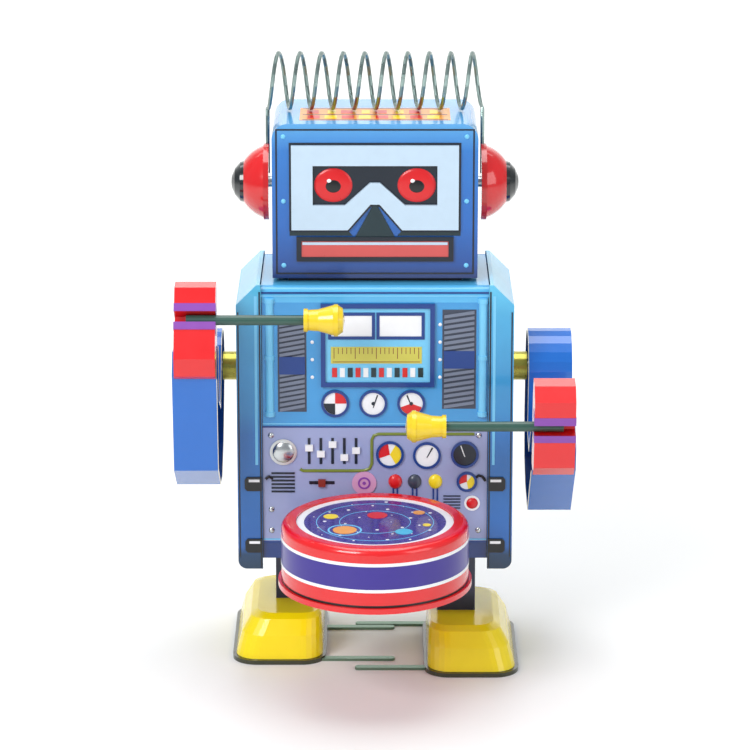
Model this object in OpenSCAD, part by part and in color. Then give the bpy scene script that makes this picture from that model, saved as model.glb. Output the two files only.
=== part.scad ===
// Tin wind-up drummer robot. Millimetres, +Z up, the robot faces -Y and stands on Z = 0.
// The origin is under the middle of the whole toy, drum and key included.

/* [Torso] */
// Width of the torso over its side covers
torso_w = 61; // [60.5:0.1:61.5]
// Height of the underside of the side covers
torso_z0 = 21.7; // [21:0.1:22]
// Height of the shoulder deck
torso_z1 = 86.5; // [86:0.1:87]
// Depth of the torso from front sheet to back sheet
torso_d = 30; // [30:0.1:30.5]
// Thickness of the tinplate
tin = 0.5; // [0.4:0.05:0.6]

/* [Head] */
// Width of the head
head_w = 45; // [44:0.5:46]
// Height of the head shell
head_h = 34.5; // [33:0.5:36]
// Depth of the head
head_d = 27; // [26:0.5:27]
// Outer radius of the wire coil over the head
coil_r = 6.6; // [6:0.1:7]
// Number of turns in the wire coil
coil_turns = 10; // [8:1:11]

/* [Drum] */
// Outer radius of the drum body
drum_r = 20.3; // [19:0.1:20.5]
// Height of the drum body
drum_h = 13; // [12:0.5:14]

/* [Arms] */
// Height of the shoulder axle
shoulder_z = 65; // [64.5:0.1:65.5]
// Distance from the shoulder axle to the drumstick
reach = 33; // [32.5:0.1:33.5]
// Angle of the right arm above the horizontal
right_arm_up = 33; // [30:1:35]
// Angle of the left arm above the horizontal
left_arm_up = -9; // [-12:1:-6]

/* [Walking] */
// Throw of the leg cranks
throw = 4; // [3.5:0.1:4]
// Height of the crankshaft
crank_z = 41; // [41:0.1:41.2]
// Length of each foot
foot_l = 37; // [35:0.5:38]
// Width of each foot at the sole
foot_w = 21; // [20:0.5:21]

/* [Hidden] */
$fn = 48;

run = 0.05;          // radial running clearance of a shaft in its hole
front_y = 0;         // outer face of the front sheet
back_y = front_y + torso_d;
mid_x = torso_w / 2 - 5.5;   // where the side covers' flanges end
proud = 0.8;         // how far a side cover stands in front of the sheets
key_end_y = 43;      // the key reaches as far back as the drum reaches forward

head_z0 = torso_z1 + 1;
head_z1 = head_z0 + head_h;
head_y0 = front_y + 4;
head_seam_y = head_y0 + 14;  // where the two halves of the head meet
ear_z = head_z0 + 19;
ear_y = head_y0 + 12;
coil_wire = 0.9;
coil_y = head_y0 + 14;
coil_z = head_z1 + coil_r + 0.2;
coil_x = head_w / 2 + 1.2;   // half length of the coil

drum_y = -22;
drum_z0 = 26;
flange_r = 21;

shoulder_y = 13;
shoulder_in_x = 12.8;
arm_x0 = 34;         // inner face of an arm
arm_x1 = 43.7;       // outer face of an arm
axle_r = 1.2;

crank_y = 14;
cheek_x = 11.6;      // inner face of a motor cheek
cheek_t = 0.7;
crank_r = 6.2;
crank_pin_r = 1;
leg_x0 = 14;
leg_x1 = 22.5;
leg_d = 13;
foot_h = 12;
guide_z = 30;
guide_pin_r = 1;
window_r = throw + guide_pin_r + 0.3;

gear_m = 0.5;        // module of every wheel
great_n = 40;
second_pinion_n = 12;
second_n = 36;
crown_pinion_n = 12;
crown_n = 30;
crank_pinion_n = 10;
escape_pinion_n = 9;
key_z = crank_z + (crown_pinion_n + second_n + second_pinion_n + great_n) * gear_m / 2;
second_z = crank_z + (crown_pinion_n + second_n) * gear_m / 2;
plate_y0 = 4;        // front motor plate
plate_y1 = 22;       // back of the motor
crown_y = 17.4;      // front face of the crown wheel's disc

module bar(x0, x1, y0, y1, z0, z1) translate([x0, y0, z0]) cube([x1 - x0, y1 - y0, z1 - z0]);
module rod_x(x0, x1, y, z, r) translate([x0, y, z]) rotate([0, 90, 0]) cylinder(r = r, h = x1 - x0);
module rod_y(y0, y1, x, z, r) translate([x, y1, z]) rotate([90, 0, 0]) cylinder(r = r, h = y1 - y0);
module rod_z(z0, z1, x, y, r) translate([x, y, z0]) cylinder(r = r, h = z1 - z0);
// side is 1 for the robot's left, which is +X, and -1 for its right
module side(s) if (s > 0) children(); else mirror([1, 0, 0]) children();
// a plate drawn in X and Z, standing from y0 to y1
module along_y(y0, y1) translate([0, y1, 0]) rotate([90, 0, 0]) linear_extrude(y1 - y0) children();
// a plate drawn in Y and Z, standing from x0 to x1
module along_x(x0, x1) translate([x0, 0, 0]) rotate([90, 0, 90]) linear_extrude(x1 - x0) children();
// a rectangle with round corners, as exact arcs
module round_rect(w, h, r) {
    square([w - 2 * r, h], center = true);
    square([w, h - 2 * r], center = true);
    for (x = [-1, 1], y = [-1, 1]) translate([x * (w / 2 - r), y * (h / 2 - r)]) circle(r = r);
}

// Torso ---------------------------------------------------------------------------------------

// a flat sheet seen from the front, with corners that clear the side covers
module sheet_outline() {
    x = torso_w / 2 - tin - 0.1;
    polygon([[-x, 24], [x, 24], [x, torso_z1 - 5], [mid_x, torso_z1 - 2], [-mid_x, torso_z1 - 2],
        [-x, torso_z1 - 5]]);
}
// one bent sheet: the front panel and the shoulder deck
module torso_front() color("deepskyblue") {
        difference() {
        union() {
            along_y(front_y, front_y + tin) sheet_outline();
            bar(-mid_x, mid_x, front_y + 2, back_y - tin - 0.1, torso_z1 - tin, torso_z1);
            along_x(-mid_x, mid_x) intersection() {
                translate([front_y + 2, torso_z1 - 2]) difference() {
                    circle(r = 2);
                    circle(r = 2 - tin);
                }
                translate([front_y, torso_z1 - 2]) square(2);
            }
            bar(-mid_x, mid_x, front_y + tin - 0.1, front_y + 3, 24, 24 + tin);
        }
        for (x = [-16, 16]) bar(x - 2, x + 2, head_y0 + 4, head_y0 + 5, torso_z1 - 2, torso_z1 + 1);
    }
}

module torso_back() color("steelblue") difference() {
    union() {
        along_y(back_y - tin, back_y) sheet_outline();
        bar(-mid_x, mid_x, back_y - tin, back_y, torso_z1 - 2.5, torso_z1);
        bar(-mid_x, mid_x, back_y - 3.5, back_y - tin + 0.1, 24, 24 + tin);
    }
    rod_y(back_y - 2, back_y + 1, 0, key_z, 2.2);
}

// outline of a torso end seen from the front, grown inwards by inset
module cover_outline(inset) {
    x1 = torso_w / 2 - inset;
    z1 = torso_z1 + 0.6 - inset;
    z0 = torso_z0 + inset;
    r = 2;
    polygon([[mid_x, z0], [x1 - r, z0], [x1, z0 + r], [x1, z1 - 4.5], [mid_x + 1, z1], [mid_x, z1]]);
    translate([x1 - r, z0 + r]) circle(r = r);
}

// a pressed pan that closes one side, with a flange over the front, back and deck
module side_cover(s) color("royalblue") side(s) difference() {
    along_y(front_y - proud, back_y + proud) cover_outline(0);
    translate([-0.01, 0, 0]) along_y(front_y - proud + tin, back_y + proud - tin) cover_outline(tin);
    bar(mid_x - 1, mid_x + 0.2, front_y - proud + tin, back_y + proud - tin, torso_z0 - 1, torso_z1 + 2);
    rod_x(mid_x, torso_w, shoulder_y, shoulder_z, axle_r + 0.3);
    rod_x(torso_w / 2 - tin - 0.1, torso_w, crank_y, guide_z, guide_pin_r);
}

module base_plate() color("slategray") difference() {
    bar(-mid_x - 4, mid_x + 4, front_y + tin + 0.1, back_y - tin - 0.1, 24 + tin, 24 + 2 * tin);
    for (s = [-1, 1]) side(s) bar(leg_x0 - 0.7, leg_x1 + 0.6, 2.6, 25.4, 24, 27);
}

// Head ----------------------------------------------------------------------------------------

// outline of the head seen from the front, with round top corners
module head_outline(inset) {
    w = head_w / 2 - inset;
    z0 = head_z0;
    z1 = head_z1 - inset;
    r = 3.5 - inset;
    translate([0, (z0 + z1 - r) / 2]) square([2 * w, z1 - r - z0], center = true);
    translate([0, z1 - r / 2]) square([2 * w - 2 * r, r], center = true);
    for (x = [-1, 1]) translate([x * (w - r), z1 - r]) circle(r = r);
}

// the eye window and the mask round it, which rise over the nose
eye_hole = [[-13.7, 113], [13.7, 113], [13.7, 104], [6.5, 104], [1, 109], [-1, 109], [-6.5, 104], [-13.7, 104]];
mask_edge = [[-18.2, 117.3], [18.2, 117.3], [18.2, 98.6], [6, 98.6], [1, 104.4], [-1, 104.4], [-6, 98.6], [-18.2, 98.6]];

// the front half of the head: a pan with the embossed mask and lips
module head_front() color("dodgerblue") difference() {
    union() {
        along_y(head_y0, head_seam_y) head_outline(0);
        along_y(head_y0 - 0.9, head_y0 + 0.1) polygon(mask_edge);
        bar(-17, 17, head_y0 - 0.5, head_y0 + 0.1, head_z0 + 4, head_z0 + 9.3);
    }
    along_y(head_y0 + tin, head_seam_y + 1) head_outline(tin);
    along_y(head_y0 - 2, head_y0 - 0.1) polygon(eye_hole);
    bar(-16.2, 16.2, head_y0 - 2, head_y0 - 0.2, head_z0 + 4.7, head_z0 + 8.6);
    for (s = [-1, 1]) side(s) rod_x(head_w / 2 - 2, head_w, ear_y, ear_z, 1.25);
}

module head_back() color("mediumblue") difference() {
    along_y(head_seam_y, head_y0 + head_d) head_outline(0);
    along_y(head_seam_y - 1, head_y0 + head_d - tin) head_outline(tin);
}

// closes the head below and hooks into the shoulder deck with two tabs
module neck_plate() color("navy") {
    bar(-19, 19, head_y0 + 2, head_y0 + head_d - 2, torso_z1, head_z0 + tin);
    bar(-head_w / 2 + tin, head_w / 2 - tin, head_y0 + tin, head_y0 + head_d - tin, head_z0, head_z0 + tin);
    for (x = [-16, 16]) bar(x - 1.8, x + 1.8, head_y0 + 4.2, head_y0 + 4.8, torso_z1 - 2, torso_z1 + 0.2);
}

module ear(s) color("red") side(s) difference() {
    translate([head_w / 2 + 0.9, ear_y, ear_z]) rotate([0, 90, 0]) rotate_extrude() intersection() {
        union() {
            translate([0, -1.5]) circle(r = 8.5);
            square([8.5, 1.2]);
        }
        square([8.5, 5.6]);
    }
    rod_x(head_w / 2, head_w, ear_y, ear_z, 1.25);
    rod_z(ear_z + 1.6, ear_z + 12, coil_x, ear_y + 0.6, coil_wire / 2);
}

module ear_cap(s) color("black") side(s) difference() {
    translate([head_w / 2 + 6.5, ear_y, ear_z]) rotate([0, 90, 0]) rotate_extrude()
        polygon([[0, 0], [4.6, 0], [4.4, 0.8], [3, 2], [1.4, 2.7], [0, 2.9]]);
    rod_x(head_w / 2, head_w / 2 + 8, ear_y, ear_z, 1.2);
}

// a screw through each ear, with its head inside the shell
module ear_bolts() color("silver") for (s = [-1, 1]) side(s) {
    rod_x(head_w / 2 - 1.5, head_w / 2 + 8, ear_y, ear_z, 1.2);
    rod_x(head_w / 2 - 2.2, head_w / 2 - tin - 0.02, ear_y, ear_z, 2.2);
}

// the wire coil that lies over the head from ear to ear, as one swept wire
coil_ring = 8;
coil_seg = 16;
coil_pitch = 2 * coil_x / coil_turns;
coil_line_r = coil_r - coil_wire / 2;
function coil_point(i) = let (t = i / coil_seg) [-coil_x + coil_pitch * t,
    coil_y - coil_line_r * sin(360 * t), coil_z - coil_line_r * cos(360 * t)];
leg_points = [for (z = [ear_z + 1.8, ear_z + 6, ear_z + 10]) [-coil_x, ear_y + 0.6, z]];
coil_line = concat([for (p = leg_points) p], [[-coil_x, ear_y + 1.3, head_z1 - 1]],
    [for (i = [0:coil_seg * coil_turns]) coil_point(i)], [[coil_x, ear_y + 1.3, head_z1 - 1]],
    [for (i = [len(leg_points) - 1:-1:0]) [coil_x, leg_points[i][1], leg_points[i][2]]]);
function unit(v) = v / norm(v);
// the ring directions use a fixed side vector that never lines up with the wire
function ring(line, i, r) = let (
    a = line[max(i - 1, 0)], b = line[min(i + 1, len(line) - 1)], t = unit(b - a),
    n = unit(cross(t, abs(t[0]) > 0.8 ? [0, 0, 1] : [1, 0, 0])), m = cross(t, n))
    [for (k = [0:coil_ring - 1]) line[i] + r * (cos(360 * k / coil_ring) * n + sin(360 * k / coil_ring) * m)];
module wire(line, r) {
    n = len(line);
    pts = [for (i = [0:n - 1]) each ring(line, i, r)];
    sides = [for (i = [0:n - 2], k = [0:coil_ring - 1]) let (k2 = (k + 1) % coil_ring)
        [i * coil_ring + k, i * coil_ring + k2, (i + 1) * coil_ring + k2, (i + 1) * coil_ring + k]];
    ends = [[for (k = [coil_ring - 1:-1:0]) k], [for (k = [0:coil_ring - 1]) (n - 1) * coil_ring + k]];
    polyhedron(pts, concat(sides, ends));
}
module head_coil() color("silver") wire(coil_line, coil_wire / 2);

// Drum ----------------------------------------------------------------------------------------

module drum_body() color("red") translate([0, drum_y, drum_z0 + 1.2]) rotate_extrude($fn = 72)
    difference() {
        union() {
            square([drum_r, drum_h - 1.5]);
            translate([drum_r - 1.5, drum_h - 1.5]) circle(r = 1.5, $fn = 32);
            translate([drum_r - 3.2, 0]) square([1.7, drum_h]);
        }
        translate([-1, -1]) square([1 + drum_r - 3.2, drum_h + 3]);
        translate([0, -1]) square([drum_r - tin, drum_h - 0.6]);
    }
module drum_skin() color("slateblue") rod_z(drum_z0 + drum_h, drum_z0 + drum_h + 0.7, 0, drum_y, drum_r - 3.2);
module drum_base() color("red") rod_z(drum_z0, drum_z0 + 1.2, 0, drum_y, flange_r);
// a strip that holds the drum's base to the torso's front sheet
module drum_bracket() color("silver") {
    bar(-4, 4, drum_y, front_y, drum_z0 - tin, drum_z0);
    bar(-4, 4, front_y - tin, front_y, drum_z0 - tin, drum_z0 + 6);
}

// Clockwork -----------------------------------------------------------------------------------

// one tooth as [height over the pitch circle, half width], from root to tip, thin enough to leave room in mesh
tooth = [[-0.62, 0.33], [0, 0.24], [0.38, 0.1]];
// a flat spur wheel as one outline
module spur(n) {
    r = n * gear_m / 2;
    side = [for (t = tooth) [r + t[0], t[1] / r * 180 / PI]];
    around = [for (p = side) [p[0], -p[1]], for (i = [len(side) - 1:-1:0]) side[i]];
    polygon([for (i = [0:n - 1], p = around) p[0] * [cos(360 * i / n + p[1]), sin(360 * i / n + p[1])]]);
}
// turned a whole wheel by a share of its tooth, about +Y
module wheel_y(n, y0, y1, z, share = 0, x = 0) translate([x, 0, z]) along_y(y0, y1) rotate(360 * share / n) spur(n);

// a folded plate: the back and two cheeks that carry the crankshaft
module motor_frame() color("silver") difference() {
    union() {
        bar(-cheek_x - cheek_t, cheek_x + cheek_t, plate_y1, plate_y1 + 0.8, 32, 80);
        for (s = [-1, 1]) side(s) bar(cheek_x, cheek_x + cheek_t, plate_y0 + 1, plate_y1 + 0.1, 32, 60);
        bar(-cheek_x - cheek_t, cheek_x + cheek_t, plate_y1, back_y - tin - 0.02, 79, 80);
    }
    rod_x(-20, 20, crank_y, crank_z, 1 + run);
    rod_y(20, 25, 0, key_z, 1.5 + run);
    rod_y(20, 25, 0, second_z, 0.7 + run);
}
module motor_front_plate() color("silver") difference() {
    bar(-cheek_x - cheek_t, cheek_x + cheek_t, plate_y0, plate_y0 + 0.8, 48, 80);
    rod_y(2, 8, 0, key_z, 1.5 + run);
    rod_y(2, 8, 0, second_z, 0.7 + run);
}
pillar_x = 10.6;
module motor_pillars() color("gold") for (x = [-pillar_x, pillar_x], z = [50, 78.6])
    rod_y(plate_y0 + 0.8, plate_y1, x, z, 0.8);

// a flat spiral strip round the key arbor; its outer end holds on to a pillar
spring_turns = 5;
spring_seg = 20;
function spiral(r, t) = let (a = 360 * t, d = r + 1.3 * t) [d * cos(a), d * sin(a)];
module mainspring() color("dimgray") translate([0, 0, key_z]) along_y(6, 13)
    polygon(concat([for (i = [0:spring_turns * spring_seg]) spiral(2.3, i / spring_seg)],
        [for (i = [spring_turns * spring_seg:-1:0]) spiral(2.7, i / spring_seg)]));

module key_arbor() color("silver") rod_y(plate_y0 - 0.6, 37, 0, key_z, 1.5);
module winding_key() color("gold") difference() {
    union() {
        rod_y(32, 37, 0, key_z, 2.6);
        along_y(37, 38.2) difference() {
            union() {
                translate([0, key_z]) round_rect(10, 5, 2);
                for (s = [-1, 1]) translate([s * 7, key_z]) circle(r = 5);
            }
            for (s = [-1, 1]) translate([s * 7.6, key_z]) circle(r = 2.2);
        }
        rod_y(38.2, key_end_y, 0, key_z, 1.6);
    }
    rod_y(31, 37, 0, key_z, 1.5);
}
module great_wheel() color("gold") difference() {
    wheel_y(great_n, 15, 15.8, key_z);
    rod_y(14, 17, 0, key_z, 1.5);
    for (a = [0:90:270]) translate([0, 0, key_z]) rotate([0, a + 45, 0]) rod_y(14, 17, 6, 0, 1.8);
}
module ratchet_wheel() color("silver") translate([0, 0, key_z]) along_y(15.8, 16.6) difference() {
    union() {
        circle(r = 3.4);
        for (i = [0:11]) rotate(30 * i) polygon([[3.2, -0.2], [4.3, 0.1], [3.2, 1.4]]);
    }
    circle(r = 1.5);
}
// the click that lets the key turn one way, riveted to the great wheel
module click() color("silver") translate([0, 0, key_z]) along_y(15.8, 16.6) rotate(45) {
    polygon(concat([[0.2, 4.9], [-0.3, 4.7]], [for (a = [180:-20:0]) [0, 8.4] + [cos(a), sin(a)]]));
}
module second_wheel() color("gold") {
    wheel_y(second_pinion_n, 14.2, 17.2, second_z, 0.5);
    wheel_y(second_n, 18.8, 19.6, second_z);
    rod_y(17, 19, 0, second_z, 1.6);
    rod_y(plate_y0 - 0.4, plate_y1 + 1.2, 0, second_z, 0.7);
}
module crown_post() color("silver") rod_y(crown_y - 0.6, plate_y1, 0, crank_z, 0.8);
// face teeth that reach forward to the crankshaft's pinion
crown_r = 7.5;
module crown_wheel() color("gold") difference() {
    union() {
        translate([0, 0, crank_z]) along_y(crown_y, crown_y + 0.7) circle(r = 8.2);
        for (i = [0:crown_n - 1]) translate([0, 0, crank_z]) rotate([0, 360 * (i + 0.5) / crown_n, 0])
            translate([crown_r, 0, 0]) rotate([0, 90, 0]) translate([0, 0, -0.6]) linear_extrude(1.2)
                polygon([[-0.3, crown_y + 0.1], [-0.12, crown_y - 1.05], [0.12, crown_y - 1.05], [0.3, crown_y + 0.1]]);
        wheel_y(crown_pinion_n, crown_y + 0.7, 20.6, crank_z, 0.5);
    }
    rod_y(14, 24, 0, crank_z, 0.8 + run);
}
module crankshaft() color("silver") {
    rod_x(-13.6, 13.6, crank_y, crank_z, 1);
    translate([0, crank_y, crank_z]) along_x(6.6, 8.6) spur(crank_pinion_n);
}
// a disc with the pin that carries a leg; the two pins are half a turn apart
module crank(s) color("gold") {
    pin_y = crank_y - s * throw;
    side(s) difference() {
        union() {
            rod_x(12.5, 13.6, crank_y, crank_z, crank_r);
            rod_x(13.4, 15.2, pin_y, crank_z, crank_pin_r);
        }
        rod_x(12, 14, crank_y, crank_z, 1);
    }
}
escape_x = -8.2;
escape_z = second_z - sqrt(pow((second_n + escape_pinion_n) * gear_m / 2, 2) - pow(escape_x, 2));
// the share of a tooth that sets the escape pinion in mesh with the second wheel
escape_dir = atan2(escape_z - second_z, escape_x);
escape_share = (escape_dir + 180) * escape_pinion_n / 360 + escape_dir * second_n / 360 + 0.5;
module escape_post() color("silver") rod_y(18.2, plate_y1, escape_x, escape_z, 0.5);
module escape_wheel() color("gold") difference() {
    union() {
        wheel_y(escape_pinion_n, 18.6, 20.2, escape_z, escape_share, escape_x);
        translate([escape_x, 0, escape_z]) along_y(20.2, 20.9) union() {
            circle(r = 1.9);
            for (i = [0:7]) rotate(45 * i) polygon([[1.7, -0.5], [2.9, 0], [1.7, 0.5]]);
        }
    }
    rod_y(18, 22, escape_x, escape_z, 0.5 + run);
}
pallet_z = escape_z - 5.6;
module pallet_post() color("silver") rod_y(18.2, plate_y1, escape_x, pallet_z, 0.5);
// a rocking anchor that slows the escape wheel
module pallet() color("silver") difference() {
    union() {
        rod_y(20.2, 20.9, escape_x, pallet_z, 1.2);
        bar(escape_x - 2.6, escape_x + 2.6, 20.2, 20.9, pallet_z - 0.5, pallet_z + 0.9);
        for (x = [-2.6, 1.8]) bar(escape_x + x, escape_x + x + 0.8, 20.2, 20.9, pallet_z + 0.8, pallet_z + 1.8);
    }
    rod_y(20, 22, escape_x, pallet_z, 0.5 + run);
}

// Legs ----------------------------------------------------------------------------------------

// fixed pins, riveted in the side covers, that steady each leg
module guide_pins() color("silver") for (s = [-1, 1]) side(s)
    rod_x(leg_x0 - 0.4, torso_w / 2, crank_y, guide_z, guide_pin_r);
module leg(s) color("midnightblue") {
    y = crank_y - s * throw;
    side(s) difference() {
        union() {
            bar(leg_x0, leg_x1, y - leg_d / 2, y + leg_d / 2, foot_h - 1.6, crank_z - 2);
            rod_x(leg_x0, leg_x1, y, crank_z - 1, leg_d / 2 - 0.01);
        }
        bar(leg_x0 + tin, leg_x1 - tin, y - leg_d / 2 + tin, y + leg_d / 2 - tin, foot_h - 1.1, crank_z + 20);
        rod_x(leg_x0 - 1, leg_x1 + 1, y, guide_z, window_r);
        rod_x(leg_x0 - 1, leg_x0 + 1, y, crank_z, crank_pin_r + run);
        bar(leg_x0 + tin, leg_x1 + 1, y - leg_d, y + leg_d, crank_z - 2, crank_z + 20);
    }
    // the finger that lifts the arm's lever
    side(s) bar(leg_x0, leg_x0 + tin, y - 2, y + 2, crank_z + 3, 55);
}

foot_x = 11 + foot_w / 2;
tab_half_w = 0.9;
tab_reach = 3.6;     // how far a foot's tabs pass the robot's middle
function foot_y(s) = crank_y - s * throw - 3.5;
// a slice of the shoe, drawn in plan
module shoe_slice(w, l, r, z, lean) translate([-lean, 0, z]) linear_extrude(0.2) round_rect(w, l, r, $fn = 24);
// the upper leans towards the inner side, where the leg stands
module shoe(grow) hull() {
    shoe_slice(foot_w - 1.4 + grow, foot_l - 1.4 + grow, 5, 0.8, 0);
    shoe_slice(foot_w - 2.8 + grow, foot_l - 3.6 + grow, 5, 6, 0.6);
    shoe_slice(foot_w - 5 + grow, foot_l - 7 + grow, 4.5, 9.4 + grow / 2, 1.5);
    shoe_slice(foot_w - 7 + grow, foot_l - 11 + grow, 4, 10.2 + grow / 2, 2);
}
// a pressed shoe with a rolled rim at the sole and a flat where the leg stands
module foot(s) color("yellow") side(s) translate([foot_x, foot_y(s), 0]) {
    difference() {
        union() {
            shoe(0);
            linear_extrude(1) round_rect(foot_w, foot_l, 5.5, $fn = 24);
        }
        translate([0, 0, -0.6]) shoe(-1.2);
        translate([0, 0, -1]) linear_extrude(2.5) round_rect(foot_w - 3, foot_l - 3, 4.5, $fn = 24);
        // notches for the stabiliser's tabs
        for (y = tab_y(s)) translate([0, y - foot_y(s), 0])
            bar(-foot_w / 2 - 1, -foot_w / 2 + 5, -tab_half_w, tab_half_w, -1, 0.6);
    }
}
// the flat plate under a shoe with two tabs that reach under the other side
module stabiliser(s) color("silver") {
    fy = foot_y(s);
    side(s) {
        translate([foot_x, fy, 0]) linear_extrude(0.6) round_rect(foot_w - 3.2, foot_l - 3.2, 4.5, $fn = 24);
        for (y = tab_y(s)) {
            bar(-tab_reach, foot_x - 6, y - tab_half_w, y + tab_half_w, 0, 0.6);
            rod_z(0, 0.6, -tab_reach, y, tab_half_w);
        }
    }
}
// the two tabs of one foot pass between those of the other at every point of the stride
function tab_y(s) = s > 0 ? [foot_y(1) - 13, foot_y(1) + 15.6] : [foot_y(-1) - 15.2, foot_y(-1) + 5.2];

// Arms ----------------------------------------------------------------------------------------

// arm parts are drawn with the stick straight ahead of the axle, then turned up by the arm's angle
module arm_pose(s, up) translate([0, shoulder_y, shoulder_z]) rotate([-up, 0, 0]) side(s) children();
// outline of the arm, drawn with -Y ahead: shoulder, elbow and forearm
module arm_outline() polygon(concat([for (a = [0:15:180]) 8.5 * [cos(a), sin(a)]],
    [[-8.5, -12], [-16, -13], [-24, -3], [-29.5, -6], [-29.5, -11.5], [-15, -28.6], [-3, -28.4],
    [4, -25], [8, -16]]));
module arm(s, up) color("dodgerblue") arm_pose(s, up) difference() {
    along_x(arm_x0, arm_x1) arm_outline();
    along_x(arm_x0 - 1, arm_x1 - tin) offset(delta = -tin) arm_outline();
    along_x(arm_x0 - 1, arm_x1 - tin) hand_outline();
}
module hand_outline() {
    polygon([[-24.6, -12], [-30.6, -12], [-33.5, -9], [-34.4, -0.8], [-31, -0.8], [-30.6, 0.3], [-31, 1.4],
        [-34.4, 1.6], [-34.2, 7], [-31, 9.4], [-26, 9], [-24.2, 4]]);
}
module hand(s, up) color("red") arm_pose(s, up)
    along_x(arm_x0 + 0.3, arm_x1 - tin) hand_outline();
stick_r = 1.1;
stick_y = -reach;
stick_in_x = 14;
lever_down = 20;     // how far the lever hangs below the stick's direction
module stick(s, up) color("dimgray") arm_pose(s, up)
    rod_x(stick_in_x, arm_x1 - 3, stick_y + 1, 0.3, stick_r);
module stick_tip(s, up) color("khaki") arm_pose(s, up) difference() {
    translate([15.2, stick_y + 1, 0.3]) rotate([0, -90, 0]) rotate_extrude()
        polygon([[0, 0], [2.2, 0], [2.4, 3], [3.3, 6.2], [3.35, 7.2], [2.6, 8.3], [0, 8.7]]);
    rod_x(stick_in_x, 20, stick_y + 1, 0.3, stick_r);
}
module shoulder_axle(s, up) color("silver") arm_pose(s, up) rod_x(shoulder_in_x, arm_x1 - tin, 0, 0, axle_r);
module shoulder_bush(s, up) color("yellow") arm_pose(s, up) difference() {
    rod_x(torso_w / 2 + 0.4, arm_x0, 0, 0, 3.2);
    rod_x(torso_w / 2, arm_x0 + 1, 0, 0, axle_r);
}
// a short lever on the axle's inner end, over the leg's lifting finger
module arm_lever(s, up) color("gold") arm_pose(s, up) rotate([lever_down, 0, 0]) difference() {
    union() {
        rod_x(13.2, 15.4, 0, 0, 2.4);
        bar(13.2, 15.4, -5, 0, -1, 1);
    }
    rod_x(13, 16, 0, 0, axle_r);
}

torso_front();
torso_back();
side_cover(1);  // side_cover_left
side_cover(-1);  // side_cover_right
base_plate();
head_front();
head_back();
neck_plate();
ear(1);  // ear_left
ear(-1);  // ear_right
ear_cap(1);  // ear_cap_left
ear_cap(-1);  // ear_cap_right
ear_bolts();
head_coil();
drum_body();
drum_skin();
drum_base();
drum_bracket();
motor_frame();
motor_front_plate();
motor_pillars();
mainspring();
key_arbor();
winding_key();
great_wheel();
ratchet_wheel();
click();
second_wheel();
crown_post();
crown_wheel();
crankshaft();
crank(1);  // crank_left
crank(-1);  // crank_right
escape_wheel();
escape_post();
pallet();
pallet_post();
guide_pins();
leg(1);  // leg_left
leg(-1);  // leg_right
foot(1);  // foot_left
foot(-1);  // foot_right
stabiliser(1);  // stabiliser_left
stabiliser(-1);  // stabiliser_right
arm(1, left_arm_up);  // arm_left
arm(-1, right_arm_up);  // arm_right
hand(1, left_arm_up);  // hand_left
hand(-1, right_arm_up);  // hand_right
stick(1, left_arm_up);  // stick_left
stick(-1, right_arm_up);  // stick_right
stick_tip(1, left_arm_up);  // stick_tip_left
stick_tip(-1, right_arm_up);  // stick_tip_right
shoulder_axle(1, left_arm_up);  // shoulder_axle_left
shoulder_axle(-1, right_arm_up);  // shoulder_axle_right
shoulder_bush(1, left_arm_up);  // shoulder_bush_left
shoulder_bush(-1, right_arm_up);  // shoulder_bush_right
arm_lever(1, left_arm_up);  // arm_lever_left
arm_lever(-1, right_arm_up);  // arm_lever_right
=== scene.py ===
"""Looks of a tin wind-up drummer robot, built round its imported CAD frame.

Lengths in the tables are millimetres.
"""

import math

import bmesh
import bpy
from mathutils import Matrix, Vector


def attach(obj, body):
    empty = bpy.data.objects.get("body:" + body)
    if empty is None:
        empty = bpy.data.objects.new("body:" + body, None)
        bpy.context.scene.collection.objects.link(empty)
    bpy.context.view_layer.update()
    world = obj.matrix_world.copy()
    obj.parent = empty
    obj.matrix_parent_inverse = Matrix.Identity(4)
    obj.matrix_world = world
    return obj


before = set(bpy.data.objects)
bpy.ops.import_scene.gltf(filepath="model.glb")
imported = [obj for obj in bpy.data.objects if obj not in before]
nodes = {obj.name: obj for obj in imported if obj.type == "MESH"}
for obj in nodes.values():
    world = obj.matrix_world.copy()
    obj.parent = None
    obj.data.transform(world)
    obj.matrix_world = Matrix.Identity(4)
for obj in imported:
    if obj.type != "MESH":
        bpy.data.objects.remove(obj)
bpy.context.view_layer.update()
MM = 0.001


# Materials --------------------------------------------------------------------------------------

def linear(rgb):
    """A display colour, 0 to 255, as linear light."""
    out = [(c / 255 / 12.92) if c <= 10 else ((c / 255 + 0.055) / 1.055) ** 2.4 for c in rgb]
    return (*out, 1)


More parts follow.
